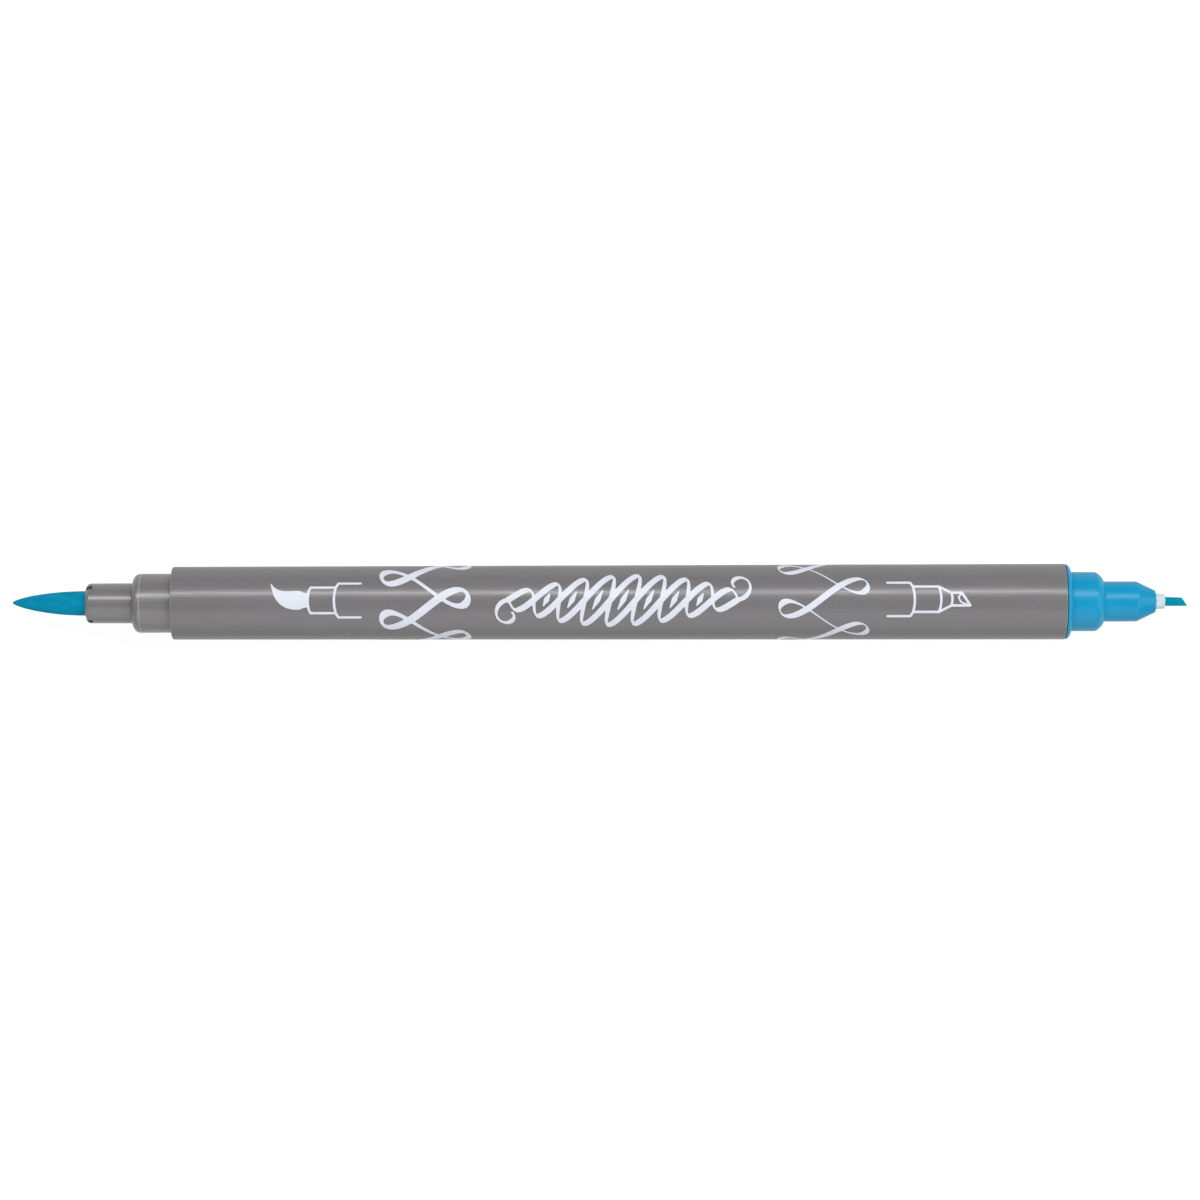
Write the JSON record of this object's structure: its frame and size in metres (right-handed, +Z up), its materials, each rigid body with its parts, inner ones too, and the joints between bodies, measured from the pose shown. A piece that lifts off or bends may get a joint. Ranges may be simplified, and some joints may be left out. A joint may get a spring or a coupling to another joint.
{
  "type": "twin-tip calligraphy marker",
  "caption": "Slim double-ended calligraphy marker with a brush nib at one end and a slanted chisel nib at the other, and pull-off caps.",
  "frame": {"origin": "On the desk, under the middle of the row's bounding box, which is also under the middle of the pen", "axes": "+X along the pen from the brush nib to the chisel nib, +Z up from the desk, +Y across the pen"},
  "size_m": [0.2162, 0.0096, 0.0096],
  "materials": {
    "grey_plastic": "satin",
    "blue_plastic": "satin gloss",
    "white_plastic": "satin",
    "seal_plastic": "soft matte",
    "inked_fibre": "matte, ink-soaked",
    "reservoir_fibre": "matte, ink-soaked",
    "clear_film": "clear gloss",
    "print_ink": "screen-printed ink"
  },
  "bodies": {
    "marker": {"barrel": "grey_plastic", "brush_nib": "inked_fibre", "chisel_section": "blue_plastic", "nib_collar": "white_plastic", "chisel_nib": "inked_fibre", "reservoir_core": "reservoir_fibre", "reservoir_sleeve": "clear_film"},
    "brush_cap": {"brush_cap_shell": "grey_plastic", "brush_cap_seal": "seal_plastic"},
    "chisel_cap": {"chisel_cap_shell": "grey_plastic", "chisel_cap_seal": "seal_plastic"}
  },
  "joints": [
    {"name": "brush_cap_slide", "type": "slide", "parent": "marker", "child": "brush_cap", "axis": [1, 0, 0], "range_m": [0, 0.0274]},
    {"name": "chisel_cap_slide", "type": "slide", "parent": "marker", "child": "chisel_cap", "axis": [-1, 0, 0], "range_m": [0, 0.0218]}
  ]
}
